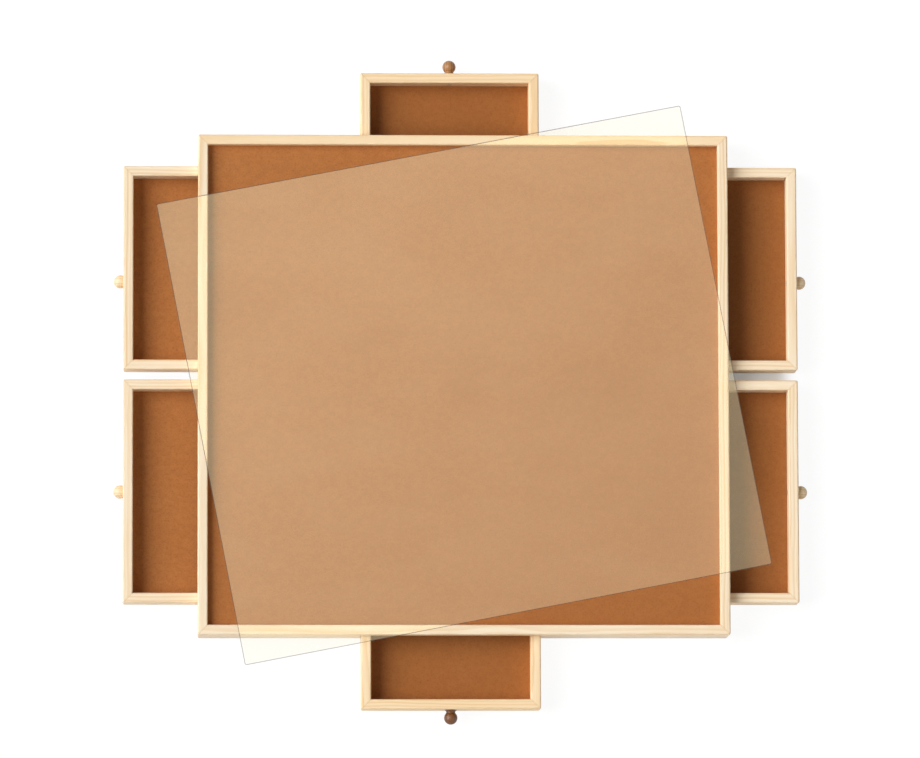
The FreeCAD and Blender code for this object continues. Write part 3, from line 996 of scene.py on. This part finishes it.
@dataclass
class Drawer:
    """One drawer: four mitred walls, a floor, a turned knob and the screw that holds it."""

    name: str
    across: Grain
    tone: PineTone
    floor_tone: BoardTone
    knob_tone: KnobTone
    seed: int

    def dress(self, zinc: bpy.types.Material) -> None:
        """Gives each of the drawer's pieces its finish, and its knob a screw.

        Args:
            zinc: The screw's finish.
        """
        floor, knob = f"{self.name}_floor", f"{self.name}_knob"
        along = self.across.other
        walls = {"front": self.across, "back": self.across, "left_side": along, "right_side": along}
        for number, (wall, grain) in enumerate(walls.items()):
            node = f"{self.name}_{wall}"
            finish = PineFinish(grain, self.seed + number, self.tone)
            dress(node, finish.make(node, outward_of(node, floor, grain)))
        dress(floor, HardboardFinish(self.seed, self.floor_tone).make(floor))
        dress(knob, KnobFinish(self.knob_tone, along, self.seed).make(knob))
        outward = outward_of(knob, floor, self.across)
        KnobScrew(f"{knob}_screw", self.name, outward).build(zinc)


@dataclass
class Cover:
    """The clear sheet, with round corners and a polished edge."""

    node: str = "cover_sheet"
    width: float = 0.746
    depth: float = 0.656
    turn: float = math.radians(10.9)
    corner: float = 3.0 * MM
    edge_round: float = 0.4 * MM
    rim: float = 1.0 * MM
    corner_steps: int = 8
    edge_steps: int = 3
    faces: ClearFinish = ClearFinish("clear_faces", "#FFF1C6", haze=0.11)
    edge: ClearFinish = ClearFinish("clear_edge", "#6B6157", haze=0.36)

    def ring(self, inset: float) -> list[tuple[float, float]]:
        """Walks once round the sheet.

        Args:
            inset: How far inside the cut edge the walk stays.

        Returns:
            The walk's points, counter-clockwise.
        """
        radius = self.corner - inset
        points = []
        for quarter, (sign_x, sign_y) in enumerate(((1, 1), (-1, 1), (-1, -1), (1, -1))):
            centre_x = sign_x * (self.width / 2 - self.corner)
            centre_y = sign_y * (self.depth / 2 - self.corner)
            for step in range(self.corner_steps + 1):
                angle = (quarter + step / self.corner_steps) * math.pi / 2
                points.append((centre_x + radius * math.cos(angle), centre_y + radius * math.sin(angle)))
        return points

    def section(self, thick: float) -> list[tuple[float, float]]:
        """Lists how far inside the cut edge, and how high, each ring of the sheet lies.

        Args:
            thick: The sheet's thickness.

        Returns:
            Each ring's inset and height, from below.
        """
        quarter = [step / self.edge_steps * math.pi / 2 for step in range(self.edge_steps, -1, -1)]
        bend = [(self.edge_round * (1 - math.cos(a)), self.edge_round * (1 - math.sin(a))) for a in quarter]
        lower = [(self.rim, 0.0), *bend]
        return lower + [(inset, thick - height) for inset, height in reversed(lower)]

    def build(self) -> None:
        """Builds the sheet as rings round its edge, closed above and below, hazy and denser at the edge."""
        low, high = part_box(self.node)
        mesh = bmesh.new()
        section = self.section(high.z - low.z)
        rings = [[mesh.verts.new((x, y, z)) for x, y in self.ring(inset)] for inset, z in section]
        count = len(rings[0])
        for lower, upper in zip(rings, rings[1:]):
            for i in range(count):
                face = mesh.faces.new((lower[i], lower[(i + 1) % count], upper[(i + 1) % count], upper[i]))
                face.material_index = 1
                face.smooth = True
        mesh.faces.new(list(reversed(rings[0])))
        mesh.faces.new(rings[-1])
        middle = (low + high) / 2
        mesh.transform(Matrix.Translation((middle.x, middle.y, low.z)) @ Matrix.Rotation(self.turn, 4, "Z"))
        sheet = new_piece("clear_cover", mesh, "cover", self.node)
        for finish in (self.faces, self.edge):
            sheet.data.materials.append(finish.make())


@dataclass(frozen=True)
class Lamp:
    """A wide soft light from far away: how much it lights a level surface, where from and how wide."""

    name: str
    level: float
    coming_from: Triple
    spread: float

    def hang(self) -> None:
        """Adds the lamp to the scene."""
        light = bpy.data.lights.new(self.name, "SUN")
        direction = Vector(self.coming_from).normalized()
        light.energy = self.level * math.pi / direction.z
        light.angle = self.spread
        lamp = bpy.data.objects.new(self.name, light)
        lamp.rotation_euler = direction.to_track_quat("Z", "Y").to_euler()
        bpy.context.scene.collection.objects.link(lamp)


@dataclass
class Studio:
    """Floor, light and camera. The camera's tilts are in degrees, and its lens in millimetres.

    The lee is the part of the floor to the right of the board's middle, where its shadow falls.
    """

    floor_size: float = 60.0
    floor_colour: str = "#FBFBFB"
    floor_glow: float = 0.88
    glow_strength: float = 1.05
    lee_glow: float = 0.2
    lee_middle: Triple = (0.235, 0.0, 0.0)
    lee_half: Triple = (0.235, 0.3, 0.0)
    lee_fade: Triple = (0.03, 0.12, 1.0)
    fade_span: Pair = (-1.0, 0.0)
    sky: float = 0.12
    lamps: tuple[Lamp, ...] = (
        Lamp("key", 0.78, (-1.0, 0.1, 0.92), math.radians(50.0)),
        Lamp("fill", 0.08, (0.8, -0.6, 0.5), math.radians(60.0)),
    )
    camera_at: Triple = (-0.4000, -1.1325, 10.0640)
    camera_tilt: Triple = (6.500, -2.246, 0.091)
    lens: float = 283.11

    def lay_floor(self) -> None:
        """Lays the pale floor. A glow that lights nothing thins its shadows, less so in the board's lee."""
        mesh = bmesh.new()
        bmesh.ops.create_grid(mesh, x_segments=1, y_segments=1, size=self.floor_size / 2)
        data = bpy.data.meshes.new("studio_floor")
        mesh.to_mesh(data)
        mesh.free()
        floor = bpy.data.objects.new("studio_floor", data)
        bpy.context.scene.collection.objects.link(floor)
        material = bpy.data.materials.new("studio_floor")
        material.use_nodes = True
        material.node_tree.nodes.clear()
        desk = NodeDesk(material.node_tree)
        matt = desk.add("BsdfDiffuse", {"Color": linear(self.floor_colour)}).outputs[0]
        glow = desk.add("Emission", {"Color": WHITE, "Strength": self.glow_strength}).outputs[0]
        place = desk.vector("SUBTRACT", desk.add("TexCoord").outputs["Object"], self.lee_middle)
        past = desk.vector("SUBTRACT", desk.vector("ABSOLUTE", place), self.lee_half)
        past_x, past_y, _ = desk.add("SeparateXYZ", {0: desk.vector("DIVIDE", past, self.lee_fade)}).outputs
        levels = (self.lee_glow, self.floor_glow)
        level = desk.ramp(desk.math("MAXIMUM", past_x, past_y), self.fade_span, levels)
        share = desk.math("MULTIPLY", desk.seen(), level)
        mixed = desk.add("MixShader", {0: share, 1: matt, 2: glow}).outputs[0]
        desk.add("OutputMaterial", {"Surface": mixed})
        data.materials.append(material)

    def light(self) -> None:
        """Sets a plain bright surround and the lamps."""
        world = bpy.data.worlds.new("studio")
        bpy.context.scene.world = world
        world.use_nodes = True
        world.node_tree.nodes.clear()
        desk = NodeDesk(world.node_tree)
        strength = desk.math("ADD", self.sky, desk.math("MULTIPLY", desk.seen(), 1.0 - self.sky))
        surround = desk.add("Background", {"Color": WHITE, "Strength": strength})
        desk.add("OutputWorld", {"Surface": surround.outputs[0]})
        for lamp in self.lamps:
            lamp.hang()

    def place_camera(self) -> None:
        """Hangs the camera high over the board, a little in front of it."""
        lens = bpy.data.cameras.new("overhead")
        lens.lens = self.lens
        camera = bpy.data.objects.new("overhead", lens)
        turn = Matrix.Identity(3)
        for angle, axis in zip(self.camera_tilt, "XYZ"):
            turn = turn @ Matrix.Rotation(math.radians(angle), 3, axis)
        camera.rotation_euler = turn.to_euler()
        camera.location = self.camera_at
        bpy.context.scene.collection.objects.link(camera)
        bpy.context.scene.camera = camera

    def build(self) -> None:
        """Sets up the whole studio."""
        self.lay_floor()
        self.light()
        self.place_camera()
        bpy.context.scene.view_settings.view_transform = "Standard"


def drawers() -> list[Drawer]:
    """Lists the six drawers with their own grain, and tones that paint light and shade on their floors and
    knobs.

    Returns:
        The four side drawers, then the front and the rear one.
    """
    # The right-hand and end drawers get the darker board on their floors as painted shade.
    floors = {"left": BoardTone.LIGHT, "right": BoardTone.SHADED}
    kinds = [
        (f"{side}_{bay}_drawer", Grain.ALONG_Y, PineTone.PALE, floor, KnobTone.PALE)
        for side, floor in floors.items()
        for bay in ("rear", "front")
    ]
    # The knob tones are painted light and shade: the side knobs paler, the front knob darker.
    knobs = {"front": KnobTone.DARK_SHADED, "rear": KnobTone.BROWN}
    kinds += [
        (f"{end}_drawer", Grain.ALONG_X, PineTone.HONEY, BoardTone.SHADED, knob)
        for end, knob in knobs.items()
    ]
    first_seed, seeds_each = 5, 5
    return [Drawer(*kind, first_seed + seeds_each * i) for i, kind in enumerate(kinds)]


def main() -> None:
    """Builds and dresses the board, then its studio."""
    logging.basicConfig(level=logging.INFO, format="%(name)s: %(message)s")
    Case().dress()
    zinc = ZincFinish().make()
    for drawer in drawers():
        drawer.dress(zinc)
    Cover().build()
    Studio().build()


if __name__ == "__main__":
    main()
